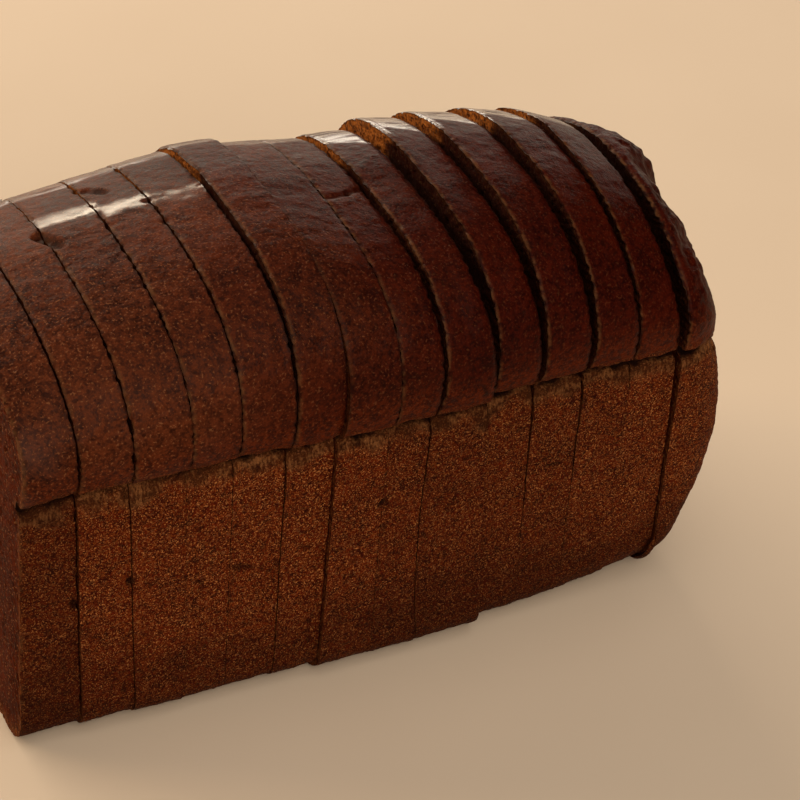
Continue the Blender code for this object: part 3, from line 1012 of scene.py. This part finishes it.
@dataclass
class Heel(LoafPiece):
    """The heel: one knife cut, and crust on its rounded end."""

    straight_steps: int = 8
    end_inward: float = 0.35

    @classmethod
    def end_of_loaf(cls) -> "Heel":
        """Set up the heel past the last cut."""
        return cls(
            name="rye_heel",
            node="heel",
            steps=52,
            middle=FORM.cuts[-1] + FORM.heel_length / 2,
            width=FORM.heel_length,
            fine_caps=(CutFace.RIGHT,),
        )

    @staticmethod
    def crown_share(z: np.ndarray) -> np.ndarray:
        """Share of the way from the lip, 0, to the top, 1, at each height z."""
        span = FORM.crown_heights[-1] - FORM.lip_heights[-1]
        return np.clip((z - FORM.lip_heights[-1]) / span, 0.0, 1.0)

    def reach(self, z: np.ndarray) -> np.ndarray:
        """How far the end stands past the last cut at each height z."""
        share = (z - FORM.heel_bulge_height) / (FORM.lip_heights[-1] - FORM.heel_bulge_height)
        low = FORM.heel_length + (FORM.heel_reach_at_lip - FORM.heel_length) * np.minimum(share**2, 1.0)
        high = FORM.heel_reach_at_lip + (FORM.heel_reach_at_top - FORM.heel_reach_at_lip) * self.crown_share(z)
        return np.where(z < FORM.lip_heights[-1], low, high)

    def rounded(self, section: np.ndarray, turn: np.ndarray) -> np.ndarray:
        """Places on the rounded end.

        Args:
            section: Y and Z on the unrounded section.
            turn: Angle from 0, where the rounding starts, to a right angle at the end face.

        Returns:
            X, Y and Z of each place.
        """
        y, z = section[:, 0], section[:, 1]
        knob = np.clip((self.crown_share(z) - FORM.knob_from) / (1.0 - FORM.knob_from), 0.0, 1.0)
        knob *= np.exp(-(((y - FORM.knob_place) / FORM.knob_width) ** 2))
        reach = self.reach(z) + FORM.knob_reach * knob
        edge = np.minimum(FORM.heel_edge_reach, reach - FORM.knife_gap)
        low = 1.0 - z / FORM.heel_bulge_height
        inset = np.where(
            z < FORM.heel_bulge_height,
            FORM.heel_wall_inset + (FORM.heel_foot_inset - FORM.heel_wall_inset) * low,
            FORM.heel_wall_inset + (FORM.heel_crown_inset - FORM.heel_wall_inset) * self.crown_share(z),
        )
        power = FORM.heel_wall_power + (FORM.heel_crown_power - FORM.heel_wall_power) * self.crown_share(z)
        inset = inset - FORM.knob_lift * knob
        drawn = 1.0 - inset * (1.0 - np.cos(turn)) ** power / np.hypot(y, z - FORM.heel_centre_height)
        height = FORM.heel_centre_height + (z - FORM.heel_centre_height) * drawn
        x = FORM.cuts[-1] + reach - edge * (1.0 - np.sin(turn))
        return np.column_stack([x, y * drawn, height])

    def build(self) -> bpy.types.Object:
        """Model, shape and dress the heel.

        Returns:
            The finished object.
        """
        blank = self.model()
        count = len(blank.step)
        last = np.full(count, FORM.cuts[-1])
        section = FORM.outline(blank.station, blank.side, last, np.full(count, FORM.heel_rise))
        past = np.maximum(blank.step - self.straight_steps, 0) / (self.steps - self.straight_steps)
        dome = self.rounded(section, math.pi / 2 * past)
        cut = FORM.cut(len(FORM.cuts) - 1, section[:, 1])
        straight = np.clip(blank.step / self.straight_steps, 0.0, 1.0)
        places = np.column_stack([cut + (dome[:, 0] - cut) * straight, section[:, 0], section[:, 1]])
        places = np.where((blank.step > self.straight_steps)[:, None], dome, places)

        end = blank.step == self.steps
        end_rim = np.flatnonzero(end & (blank.share == 1.0) & (blank.side < 0) & (blank.station < 5.0))
        rim_order = end_rim[np.argsort(places[end_rim, 2])]
        hub = np.array([0.0, LAYOUT.hub_height])
        end_hub = np.array([0.0, FORM.heel_centre_height + 6.0])
        on_end = end & (blank.share < 1.0)
        flat = end_hub + (places[:, 1:] - end_hub) * blank.share[:, None]
        x_end = np.interp(flat[:, 1], places[rim_order, 2], places[rim_order, 0])
        rim_x = places[:, 0]
        blend = smooth(0.8, 1.0, blank.share)
        places_end = np.column_stack([x_end + (rim_x - x_end) * blend, flat])
        on_cut = (blank.step == 0) & (blank.share < 1.0)
        drawn = hub + (section - hub) * blank.share[:, None]
        places_cut = np.column_stack([FORM.cut(len(FORM.cuts) - 1, drawn[:, 1]), drawn])
        places = np.where(on_end[:, None], places_end, places)
        places = np.where(on_cut[:, None], places_cut, places)

        mesh = blank.piece.data
        mesh.vertices.foreach_set("co", (places * MM).ravel())
        mesh.update()
        normal = np.zeros(count * 3)
        mesh.vertex_normals.foreach_get("vector", normal)
        normal = normal.reshape(-1, 3)
        normal[blank.step == 0, 0] = 0.0
        normal /= np.maximum(np.linalg.norm(normal, axis=1), 1e-9)[:, None]
        edge = np.maximum(places[:, 0] - FORM.cut(len(FORM.cuts) - 1, places[:, 2]), 0.0)
        last_cut = len(FORM.cuts) - 1
        edges = CutEdges(edge, np.full(count, FORM.heel_length), last_cut, last_cut)
        relief = RELIEF.press(places, blank.station, blank.side, edges, FORM.pan_tones[-1])
        moves = normal * (relief["out"] - self.end_inward * past * (1.0 - on_cut))[:, None]
        moves[:, 0] += relief["in_x"]
        self.follow_crust(blank, moves, 0)
        depth, holes = CRUMB.press(places)
        near_crust = smooth(0.9, 1.0, blank.share)
        moves[:, 0] += np.where(on_cut, depth * (1.0 - 0.6 * near_crust), 0.0)
        masks = {name: values for name, values in relief.items() if name not in ("out", "in_x")}
        # Pores on the cut face are darkened as painted shade.
        masks["hollow_shade"] = np.where(on_cut, holes, masks["hollow_shade"])
        # Paler crumb by the crust: partly its own colour, partly a painted highlight on the lit rim.
        masks["rim"] = np.where(on_cut, smooth(0.955, 0.985, blank.share), 1.0)
        # Painted shade on the heel's cut face.
        masks["gap_shade"] = np.where(on_cut, FORM.gap_shade[-1] * smooth(70.0, 85.0, places[:, 2]), masks["gap_shade"])
        self.finish(blank, places + moves, masks, (0,))
        return blank.piece


class NodeKind(Enum):
    """Shader nodes that the finishes use."""

    ATTRIBUTE = "ShaderNodeAttribute"
    BUMP = "ShaderNodeBump"
    COORDINATES = "ShaderNodeTexCoord"
    GROUP = "ShaderNodeGroup"
    MAPPING = "ShaderNodeMapping"
    MATH = "ShaderNodeMath"
    MIX = "ShaderNodeMix"
    NOISE = "ShaderNodeTexNoise"
    RANGE = "ShaderNodeMapRange"
    VORONOI = "ShaderNodeTexVoronoi"


class Wiring:
    """Short ways to add nodes to one tree and join them."""

    def __init__(self, tree: bpy.types.NodeTree) -> None:
        """Keep the tree that nodes are added to."""
        self.tree = tree

    def add(self, kind: NodeKind, **settings: object) -> bpy.types.Node:
        """Add a node and set its properties.

        Args:
            kind: Which node.
            **settings: Properties of the node by name.

        Returns:
            The new node.
        """
        node = self.tree.nodes.new(kind.value)
        for name, value in settings.items():
            setattr(node, name, value)
        return node

    def feed(self, socket: bpy.types.NodeSocket, value: object) -> None:
        """Link or set an input, whichever the value is."""
        if isinstance(value, bpy.types.NodeSocket):
            self.tree.links.new(value, socket)
        else:
            socket.default_value = value

    def math(self, operation: str, first: object, second: object = 0.0) -> bpy.types.NodeSocket:
        """Do a sum on two values.

        Args:
            operation: Name of the sum.
            first: Number or output.
            second: Number or output.

        Returns:
            The result's output.
        """
        node = self.add(NodeKind.MATH, operation=operation)
        self.feed(node.inputs[0], first)
        self.feed(node.inputs[1], second)
        return node.outputs[0]

    def mix(self, share: object, first: object, second: object) -> bpy.types.NodeSocket:
        """Mix two colours.

        Args:
            share: Share of the second colour, a number or output.
            first: Colour or output.
            second: Colour or output.

        Returns:
            The mixed colour's output.
        """
        node = self.add(NodeKind.MIX, data_type="RGBA")
        self.feed(node.inputs[0], share)
        self.feed(node.inputs[6], first)
        self.feed(node.inputs[7], second)
        return node.outputs[2]

    def ramp(self, value: object, low: float, high: float, to_low: float = 0.0, to_high: float = 1.0) -> bpy.types.NodeSocket:
        """Map a value smoothly from one range to another.

        Args:
            value: Number or output.
            low: Start of the range.
            high: End of the range.
            to_low: Result at the start.
            to_high: Result at the end.

        Returns:
            The result's output.
        """
        node = self.add(NodeKind.RANGE, interpolation_type="SMOOTHSTEP")
        self.feed(node.inputs["Value"], value)
        self.feed(node.inputs["From Min"], low)
        self.feed(node.inputs["From Max"], high)
        self.feed(node.inputs["To Min"], to_low)
        self.feed(node.inputs["To Max"], to_high)
        return node.outputs["Result"]

    def noise(self, place: object, scale: float, detail: float = 2.0, roughness: float = 0.5) -> bpy.types.NodeSocket:
        """Noise at a number of lumps to the metre."""
        node = self.add(NodeKind.NOISE)
        self.feed(node.inputs["Vector"], place)
        self.feed(node.inputs["Scale"], scale)
        self.feed(node.inputs["Detail"], detail)
        self.feed(node.inputs["Roughness"], roughness)
        return node.outputs["Factor"] if "Factor" in node.outputs else node.outputs["Fac"]

    def attribute(self, name: str) -> bpy.types.NodeSocket:
        """Read one of the mesh's masks."""
        return self.add(NodeKind.ATTRIBUTE, attribute_name=name).outputs["Fac"]

    def group(self, tree: bpy.types.NodeTree, **inputs: object) -> bpy.types.Node:
        """Place a node group and feed its inputs by name."""
        node = self.add(NodeKind.GROUP, node_tree=tree)
        for name, value in inputs.items():
            self.feed(node.inputs[name], value)
        return node


def make_grain_group() -> bpy.types.NodeTree:
    """Group that gives a surface its grain, in clumps of two sizes with strong contrast.

    Returns:
        The group, with inputs Place, Coarse and Fine, in clumps to the metre, and the output Grain.
    """
    tree = bpy.data.node_groups.new("baked_grain", "ShaderNodeTree")
    face = tree.interface
    face.new_socket("Place", in_out="INPUT", socket_type="NodeSocketVector")
    for name in ("Coarse", "Fine"):
        face.new_socket(name, in_out="INPUT", socket_type="NodeSocketFloat")
    face.new_socket("Grain", in_out="OUTPUT", socket_type="NodeSocketFloat")
    entry = tree.nodes.new("NodeGroupInput")
    leave = tree.nodes.new("NodeGroupOutput")
    wires = Wiring(tree)
    coarse = wires.ramp(wires.noise(entry.outputs["Place"], entry.outputs["Coarse"], 1.0, 0.5), 0.38, 0.62)
    fine = wires.ramp(wires.noise(entry.outputs["Place"], entry.outputs["Fine"], 1.0, 0.6), 0.38, 0.62)
    both = wires.math("ADD", wires.math("MULTIPLY", coarse, 0.5), wires.math("MULTIPLY", fine, 0.5))
    wires.feed(leave.inputs["Grain"], both)
    return tree


def make_fleck_group() -> bpy.types.NodeTree:
    """Group that scatters small uneven flecks, such as bran in the crust.

    Returns:
        The group, with inputs Place, Scale, in flecks to the metre, and Start, which thins them out, and the
        output Mask.
    """
    tree = bpy.data.node_groups.new("bran_flecks", "ShaderNodeTree")
    face = tree.interface
    face.new_socket("Place", in_out="INPUT", socket_type="NodeSocketVector")
    for name in ("Scale", "Start"):
        face.new_socket(name, in_out="INPUT", socket_type="NodeSocketFloat")
    face.new_socket("Mask", in_out="OUTPUT", socket_type="NodeSocketFloat")
    entry = tree.nodes.new("NodeGroupInput")
    leave = tree.nodes.new("NodeGroupOutput")
    wires = Wiring(tree)
    field = wires.noise(entry.outputs["Place"], entry.outputs["Scale"], 1.0, 0.5)
    above = wires.math("SUBTRACT", field, entry.outputs["Start"])
    wires.feed(leave.inputs["Mask"], wires.ramp(above, 0.0, 0.06))
    return tree


def make_mottle_group() -> bpy.types.NodeTree:
    """Group that lays patches of two sizes over a surface.

    Returns:
        The group, with inputs Place, Large and Small, in patches to the metre, and the output Mask.
    """
    tree = bpy.data.node_groups.new("bake_mottle", "ShaderNodeTree")
    face = tree.interface
    face.new_socket("Place", in_out="INPUT", socket_type="NodeSocketVector")
    for name in ("Large", "Small"):
        face.new_socket(name, in_out="INPUT", socket_type="NodeSocketFloat")
    face.new_socket("Mask", in_out="OUTPUT", socket_type="NodeSocketFloat")
    entry = tree.nodes.new("NodeGroupInput")
    leave = tree.nodes.new("NodeGroupOutput")
    wires = Wiring(tree)
    large = wires.noise(entry.outputs["Place"], entry.outputs["Large"], 3.0, 0.55)
    small = wires.noise(entry.outputs["Place"], entry.outputs["Small"], 3.0, 0.6)
    both = wires.math("ADD", wires.math("MULTIPLY", large, 0.6), wires.math("MULTIPLY", small, 0.4))
    wires.feed(leave.inputs["Mask"], wires.ramp(both, 0.36, 0.64))
    return tree


@dataclass(frozen=True)
class CrustFinish:
    """Dark satin crust above the lip, dull gritty crust where the tin held the dough; some of its colour is painted
    shade, sheen and highlight.
    """

    pale_dark: Triple = (0.014, 0.0022, 0.0006)
    pale_light: Triple = (0.112, 0.0245, 0.0070)
    deep_dark: Triple = (0.011, 0.0006, 0.0001)
    deep_light: Triple = (0.052, 0.0042, 0.0003)
    lip_dark: Triple = (0.026, 0.0026, 0.0002)
    lip_light: Triple = (0.112, 0.0160, 0.0015)
    pan_dark: Triple = (0.017, 0.0012, 0.0001)
    pan_light: Triple = (0.118, 0.0125, 0.0008)
    grains: Triple = (0.235, 0.0600, 0.0110)
    sparks: Triple = (0.450, 0.1700, 0.0520)
    # Colour of the painted sheen.
    painted_sheen: Triple = (0.072, 0.0480, 0.0430)
    torn_dark: Triple = (0.040, 0.0120, 0.0030)
    torn_light: Triple = (0.220, 0.0920, 0.0320)
    fleck: Triple = (0.190, 0.070, 0.028)
    scorch: Triple = (0.014, 0.0018, 0.0002)
    # Colour of the pale left cut edge, partly a painted highlight.
    edge: Triple = (0.150, 0.062, 0.022)
    # Colour of the painted shade in pits, marks, the crack and tight cuts.
    hollow_shade: Triple = (0.006, 0.0010, 0.0002)

    def make(self, grain: bpy.types.NodeTree, flecks: bpy.types.NodeTree, mottle: bpy.types.NodeTree) -> bpy.types.Material:
        """Build the material.

        Args:
            grain: Group that gives a surface its grain.
            flecks: Group that scatters flecks.
            mottle: Group that lays patches.

        Returns:
            The material.
        """
        material = bpy.data.materials.new("baked_rye_crust")
        material.use_nodes = True
        wires = Wiring(material.node_tree)
        surface = material.node_tree.nodes["Principled BSDF"]
        place = wires.add(NodeKind.COORDINATES).outputs["Object"]
        level = wires.add(NodeKind.MAPPING)
        level.inputs["Scale"].default_value = (0.7, 1.0, 1.1)
        wires.feed(level.inputs["Vector"], place)
        crown = wires.attribute("crown")
        bake_and_shade = wires.attribute("bake_and_shade")
        speckle = wires.group(grain, Place=place, Coarse=650.0, Fine=1700.0).outputs["Grain"]
        patches = wires.group(mottle, Place=place, Large=38.0, Small=160.0).outputs["Mask"]
        blotch = wires.group(mottle, Place=level.outputs["Vector"], Large=95.0, Small=420.0).outputs["Mask"]
        crown_share = wires.math("ADD", wires.math("MULTIPLY", patches, 0.35), wires.math("MULTIPLY", speckle, 0.65))
        pale = wires.mix(crown_share, (*self.pale_dark, 1.0), (*self.pale_light, 1.0))
        deep = wires.mix(crown_share, (*self.deep_dark, 1.0), (*self.deep_light, 1.0))
        # The crown darkens towards the heel, partly from the bake and partly as painted shade.
        crown_tone = wires.mix(bake_and_shade, pale, deep)
        lip_tone = wires.mix(speckle, (*self.lip_dark, 1.0), (*self.lip_light, 1.0))
        crown_tone = wires.mix(wires.math("MULTIPLY", wires.attribute("lip_band"), 0.75), crown_tone, lip_tone)
        pan_share = wires.math("ADD", wires.math("MULTIPLY", speckle, 0.68), wires.math("MULTIPLY", blotch, 0.32))
        pan_tone = wires.mix(pan_share, (*self.pan_dark, 1.0), (*self.pan_light, 1.0))
        dots = wires.group(flecks, Place=place, Scale=2300.0, Start=0.53).outputs["Mask"]
        pan_tone = wires.mix(wires.math("MULTIPLY", dots, 0.5), pan_tone, (*self.grains, 1.0))
        bright = wires.group(flecks, Place=place, Scale=2700.0, Start=0.60).outputs["Mask"]
        pan_tone = wires.mix(wires.math("MULTIPLY", bright, 0.85), pan_tone, (*self.sparks, 1.0))
        crannies = wires.group(flecks, Place=place, Scale=1250.0, Start=0.56).outputs["Mask"]
        pan_tone = wires.mix(wires.math("MULTIPLY", crannies, 0.5), pan_tone, (*self.scorch, 1.0))
        tone = wires.mix(crown, pan_tone, crown_tone)
        upright = wires.add(NodeKind.MAPPING)
        upright.inputs["Scale"].default_value = (1.6, 1.6, 0.35)
        wires.feed(upright.inputs["Vector"], place)
        strands = wires.ramp(wires.noise(upright.outputs["Vector"], 1100.0, 1.0, 0.5), 0.4, 0.6)
        ripped = wires.math("ADD", wires.math("MULTIPLY", speckle, 0.5), wires.math("MULTIPLY", strands, 0.6))
        torn_share = wires.math("SUBTRACT", ripped, wires.attribute("tear"))
        # Painted sheen on the crown near the cut end.
        tone = wires.mix(wires.math("MULTIPLY", wires.attribute("painted_sheen"), 0.4), tone, (*self.painted_sheen, 1.0))
        torn_tone = wires.mix(torn_share, (*self.torn_dark, 1.0), (*self.torn_light, 1.0))
        tone = wires.mix(wires.math("MULTIPLY", wires.attribute("torn"), 0.8), tone, torn_tone)
        scorched = wires.group(flecks, Place=place, Scale=480.0, Start=0.64).outputs["Mask"]
        tone = wires.mix(wires.math("MULTIPLY", scorched, 0.55), tone, (*self.scorch, 1.0))
        # Pale left cut edges, partly a painted highlight.
        tone = wires.mix(wires.math("MULTIPLY", wires.attribute("edge"), 0.7), tone, (*self.edge, 1.0))
        small = wires.group(flecks, Place=place, Scale=1700.0, Start=0.635).outputs["Mask"]
        dimmer = wires.math("SUBTRACT", 0.7, wires.math("MULTIPLY", wires.math("MULTIPLY", crown, bake_and_shade), 0.55))
        tone = wires.mix(wires.math("MULTIPLY", small, dimmer), tone, (*self.fleck, 1.0))
        # Pan crust darkened towards the bottom and per slice.
        tone = wires.mix(wires.attribute("pan_darkening"), tone, (*self.scorch, 1.0))
        # Painted shade at the tight cuts.
        tone = wires.mix(wires.attribute("gap_shade"), tone, (*self.hollow_shade, 1.0))
        # Painted shade in the pits, the marks and the crack under the lip.
        tone = wires.mix(wires.attribute("hollow_shade"), tone, (*self.hollow_shade, 1.0))
        wires.feed(surface.inputs["Base Color"], tone)
        gloss = wires.attribute("gloss")
        dull = wires.math("MULTIPLY", wires.math("SUBTRACT", 1.0, crown), 0.26)
        rough = wires.math("ADD", wires.math("ADD", 0.42, dull), wires.math("MULTIPLY", speckle, 0.14))
        wires.feed(surface.inputs["Roughness"], rough)
        surface.inputs["Specular IOR Level"].default_value = 0.05
        wires.feed(surface.inputs["Coat Weight"], gloss)
        surface.inputs["Coat Roughness"].default_value = 0.22
        fine = wires.noise(place, 1300.0, 3.0, 0.6)
        even = wires.math("SUBTRACT", 1.0, wires.math("MULTIPLY", gloss, 0.85))
        lift = wires.math("MULTIPLY", fine, wires.math("ADD", 0.5, wires.math("SUBTRACT", 1.0, crown)))
        lift = wires.math("MULTIPLY", lift, even)
        height = wires.math("ADD", lift, wires.math("MULTIPLY", small, 0.25))
        bump = wires.add(NodeKind.BUMP)
        bump.inputs["Strength"].default_value = 0.8
        bump.inputs["Distance"].default_value = 0.4 * MM
        wires.feed(bump.inputs["Height"], height)
        wires.feed(surface.inputs["Normal"], bump.outputs["Normal"])
        return material


@dataclass(frozen=True)
class CrumbFinish:
    """Moist dark crumb with pores, paler where it meets the crust, which is partly a painted highlight; painted shade
    in the pores and tight cuts, painted sunlight near the top.
    """

    dark: Triple = (0.020, 0.0035, 0.0006)
    light: Triple = (0.095, 0.0120, 0.0008)
    # Colour of the painted shade in pores and tight cuts.
    hollow_shade: Triple = (0.008, 0.0012, 0.0002)
    # Colour of the paler rim, partly a painted highlight.
    rim: Triple = (0.150, 0.0460, 0.0120)
    # Colour of the painted sunlight.
    lit: Triple = (0.420, 0.1350, 0.0240)
    fleck: Triple = (0.230, 0.100, 0.040)

    def make(self, grain: bpy.types.NodeTree, flecks: bpy.types.NodeTree, mottle: bpy.types.NodeTree) -> bpy.types.Material:
        """Build the material.

        Args:
            grain: Group that gives a surface its grain.
            flecks: Group that scatters flecks.
            mottle: Group that lays patches.

        Returns:
            The material.
        """
        material = bpy.data.materials.new("cut_rye_crumb")
        material.use_nodes = True
        wires = Wiring(material.node_tree)
        surface = material.node_tree.nodes["Principled BSDF"]
        place = wires.add(NodeKind.COORDINATES).outputs["Object"]
        patches = wires.group(mottle, Place=place, Large=70.0, Small=380.0).outputs["Mask"]
        speckle = wires.group(grain, Place=place, Coarse=700.0, Fine=1600.0).outputs["Grain"]
        share = wires.math("ADD", wires.math("MULTIPLY", patches, 0.35), wires.math("MULTIPLY", speckle, 0.65))
        tone = wires.mix(share, (*self.dark, 1.0), (*self.light, 1.0))
        # Paler rim by the crust, partly a painted highlight.
        tone = wires.mix(wires.math("MULTIPLY", wires.attribute("rim"), wires.math("MULTIPLY", speckle, 0.9)), tone, (*self.rim, 1.0))
        # Painted sunlight on the tops of the cut faces.
        painted_sunlight = wires.math("MULTIPLY", wires.attribute("lit"), wires.math("ADD", 0.02, speckle))
        tone = wires.mix(painted_sunlight, tone, (*self.lit, 1.0))
        bran = wires.group(flecks, Place=place, Scale=1300.0, Start=0.62).outputs["Mask"]
        tone = wires.mix(wires.math("MULTIPLY", bran, 0.7), tone, (*self.fleck, 1.0))
        # Painted shade where the slices lie close.
        tone = wires.mix(wires.attribute("gap_shade"), tone, (*self.hollow_shade, 1.0))
        # Painted shade in the pores.
        tone = wires.mix(wires.attribute("hollow_shade"), tone, (*self.hollow_shade, 1.0))
        wires.feed(surface.inputs["Base Color"], tone)
        wires.feed(surface.inputs["Roughness"], wires.math("ADD", 0.66, wires.math("MULTIPLY", speckle, 0.2)))
        surface.inputs["Specular IOR Level"].default_value = 0.05
        bump = wires.add(NodeKind.BUMP)
        bump.inputs["Strength"].default_value = 0.8
        bump.inputs["Distance"].default_value = 0.4 * MM
        wires.feed(bump.inputs["Height"], wires.noise(place, 1000.0, 4.0, 0.65))
        wires.feed(surface.inputs["Normal"], bump.outputs["Normal"])
        return material


@dataclass(frozen=True)
class FloorFinish:
    """Plain, pale, matt floor."""

    tone: Triple = (0.64, 0.53, 0.43)
    shade: Triple = (0.62, 0.51, 0.41)

    def make(self, mottle: bpy.types.NodeTree) -> bpy.types.Material:
        """Build the material.

        Args:
            mottle: Group that lays patches.

        Returns:
            The material.
        """
        material = bpy.data.materials.new("pale_floor")
        material.use_nodes = True
        wires = Wiring(material.node_tree)
        surface = material.node_tree.nodes["Principled BSDF"]
        place = wires.add(NodeKind.COORDINATES).outputs["Object"]
        patches = wires.group(mottle, Place=place, Large=3.0, Small=9.0).outputs["Mask"]
        wires.feed(surface.inputs["Base Color"], wires.mix(patches, (*self.shade, 1.0), (*self.tone, 1.0)))
        surface.inputs["Roughness"].default_value = 0.9
        return material


def make_finishes() -> dict[str, bpy.types.Material]:
    """Build the shared node groups and every material, by name."""
    grain = make_grain_group()
    flecks = make_fleck_group()
    mottle = make_mottle_group()
    return {
        "crust": CrustFinish().make(grain, flecks, mottle),
        "crumb": CrumbFinish().make(grain, flecks, mottle),
        "floor": FloorFinish().make(mottle),
    }


FINISHES: dict[str, bpy.types.Material] = {}
TEXTURES: dict[str, bpy.types.Texture] = {}


def make_grain() -> bpy.types.Texture:
    """Cloudy texture whose lumps are the crust's coarse grain."""
    grain = bpy.data.textures.new("crust_grain", "CLOUDS")
    grain.noise_scale = 1.0 * MM
    grain.noise_depth = 1
    return grain


@dataclass(frozen=True)
class SoftLight:
    """A softbox.

    Attributes:
        name: Its name.
        turn: Degrees around the loaf, 0 in front and 90 on the right.
        height: Degrees above the floor.
        distance: Metres from the loaf's middle.
        size: Width of its face, in metres.
        shallow: Its height as a share of its width.
        power: Watts.
        colour: Its colour.
    """

    name: str
    turn: float
    height: float
    distance: float
    size: float
    shallow: float
    power: float
    colour: Triple

    def hang(self, target: Vector) -> None:
        """Add the light, turned to the target.

        Args:
            target: Place it shines on.
        """
        light = bpy.data.lights.new(self.name, "AREA")
        light.shape = "RECTANGLE"
        light.size = self.size
        light.size_y = self.size * self.shallow
        light.energy = self.power
        light.color = self.colour
        lamp = bpy.data.objects.new(self.name, light)
        turn, height = math.radians(self.turn), math.radians(self.height)
        away = Vector((math.sin(turn) * math.cos(height), -math.cos(turn) * math.cos(height), math.sin(height)))
        lamp.location = target + away * self.distance
        lamp.rotation_mode = "QUATERNION"
        lamp.rotation_quaternion = (-away).to_track_quat("-Z", "Y")
        bpy.context.scene.collection.objects.link(lamp)


@dataclass(frozen=True)
class Studio:
    """Floor, lights and camera."""

    floor_size: float = 9.0
    ambient: Triple = (0.92, 0.84, 0.74)
    ambient_strength: float = 0.06
    aim: Triple = (21.88, 0.82, 43.35)
    azimuth: float = 29.44
    elevation: float = 37.63
    roll: float = 5.80
    distance: float = 699.37
    lens: float = 123.27
    lights: tuple[SoftLight, ...] = (
        SoftLight("window_box", -163.0, 27.0, 1.9, 2.4, 0.09, 38.0, (1.0, 0.82, 0.60)),
        SoftLight("low_box", 156.0, 6.0, 1.5, 1.8, 0.13, 9.0, (1.0, 0.86, 0.70)),
        SoftLight("side_box", -122.0, 20.0, 1.8, 0.5, 0.5, 8.0, (1.0, 0.72, 0.42)),
        SoftLight("front_box", -8.0, 38.0, 1.9, 1.2, 1.0, 22.0, (1.0, 0.86, 0.68)),
        SoftLight("ceiling_box", 20.0, 78.0, 1.6, 1.4, 1.0, 9.0, (1.0, 0.88, 0.72)),
    )

    def lay_floor(self) -> None:
        """Lay the floor under the loaf."""
        bpy.ops.object.select_all(action="DESELECT")
        bpy.ops.mesh.primitive_grid_add(x_subdivisions=8, y_subdivisions=8, size=self.floor_size)
        floor = bpy.context.object
        floor.name = "floor"
        floor.location.z = -0.05 * MM
        floor.data.materials.append(FINISHES["floor"])

    def light(self) -> None:
        """Hang the softboxes and set the room's own light."""
        centre = (CAD_BOX[0] + CAD_BOX[1]) / 2
        for softbox in self.lights:
            softbox.hang(centre)
        world = bpy.data.worlds.new("room")
        world.use_nodes = True
        background = world.node_tree.nodes["Background"]
        background.inputs["Color"].default_value = (*self.ambient, 1.0)
        background.inputs["Strength"].default_value = self.ambient_strength
        bpy.context.scene.world = world
        bpy.context.scene.view_settings.view_transform = "Standard"

    def place_camera(self) -> None:
        """Place the camera on the near side, above the loaf, turned slightly about its own axis."""
        a, e, r = (math.radians(angle) for angle in (self.azimuth, self.elevation, self.roll))
        level = Vector((math.cos(a), -math.sin(a), 0.0))
        forward = Vector((math.sin(a) * math.cos(e), math.cos(a) * math.cos(e), -math.sin(e)))
        upward = Vector((math.sin(a) * math.sin(e), math.cos(a) * math.sin(e), math.cos(e)))
        right = level * math.cos(r) + upward * math.sin(r)
        top = upward * math.cos(r) - level * math.sin(r)
        data = bpy.data.cameras.new("camera")
        data.lens = self.lens
        data.sensor_width = 36.0
        data.clip_start, data.clip_end = 0.05, 50.0
        camera = bpy.data.objects.new("camera", data)
        camera.matrix_world = Matrix((right, top, -forward)).transposed().to_4x4()
        camera.location = (Vector(self.aim) - forward * self.distance) * MM
        bpy.context.scene.collection.objects.link(camera)
        bpy.context.scene.camera = camera


def main() -> None:
    """Build the loaf piece by piece, then the studio around it."""
    logging.basicConfig(level=logging.INFO, format="%(message)s")
    TEXTURES["grain"] = make_grain()
    FINISHES.update(make_finishes())
    for index in range(len(FORM.slice_thicknesses)):
        Slice.cut_from_loaf(index).build()
    Heel.end_of_loaf().build()
    studio = Studio()
    studio.lay_floor()
    studio.light()
    studio.place_camera()


if __name__ == "__main__":
    main()
